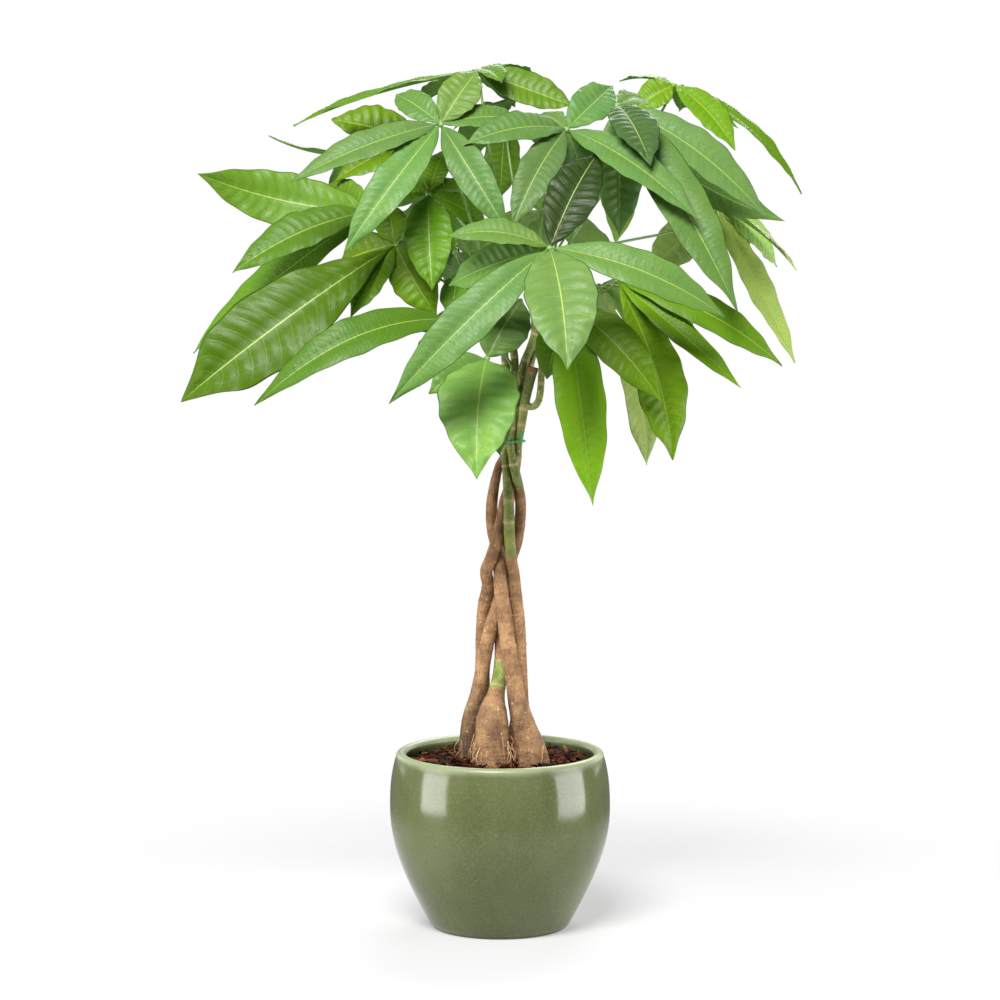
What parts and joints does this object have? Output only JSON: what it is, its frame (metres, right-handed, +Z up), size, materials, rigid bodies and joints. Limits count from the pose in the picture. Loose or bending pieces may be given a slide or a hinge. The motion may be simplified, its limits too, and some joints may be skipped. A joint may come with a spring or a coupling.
{
  "type": "potted money tree",
  "caption": "Money tree (Pachira) with a plaited trunk and drooping palmate leaves, in a round sage-green glazed pot.",
  "frame": {"origin": "centre of the pot's flat foot, on the surface that it stands on", "axes": "+Z up along the pot's axis, -Y towards the plant's front, +X to the viewer's right from the front"},
  "size_m": [0.671, 0.59, 0.9437],
  "materials": {
    "glaze": "glossy, finely mottled sage-green glaze",
    "mulch": "rough dark red-brown bark chips and fibres",
    "bark": "tan bark with small pale lenticels, green towards the shoots",
    "tie": "plastic-coated green wire",
    "leaf": "waxy green leaf with pale midrib and raised veins"
  },
  "bodies": {
    "root": {"pot": "glaze", "potting_mix": "mulch", "seedling_front_right": "bark", "seedling_left": "bark", "seedling_centre": "bark", "seedling_back_right": "bark", "seedling_back_left": "bark", "wire_tie": "tie", "leaf_upper_front_left": "leaf", "leaf_upper_front": "leaf", "leaf_middle_front": "leaf", "leaf_middle_front_left": "leaf", "leaf_lower_left": "leaf", "leaf_middle_left": "leaf", "leaf_lower_front_left": "leaf", "leaf_lower_front": "leaf", "leaf_lower_front_right": "leaf", "leaf_lower_right": "leaf", "leaf_upper_right": "leaf", "leaf_top_right": "leaf", "leaf_top_left": "leaf", "leaf_top_back": "leaf", "leaf_middle_right": "leaf", "leaf_middle_back": "leaf", "leaf_upper_back_left": "leaf", "leaf_lower_back_right": "leaf", "leaf_lower_back_left": "leaf", "leaf_back_left": "leaf", "leaf_back_right": "leaf"}
  },
  "joints": []
}
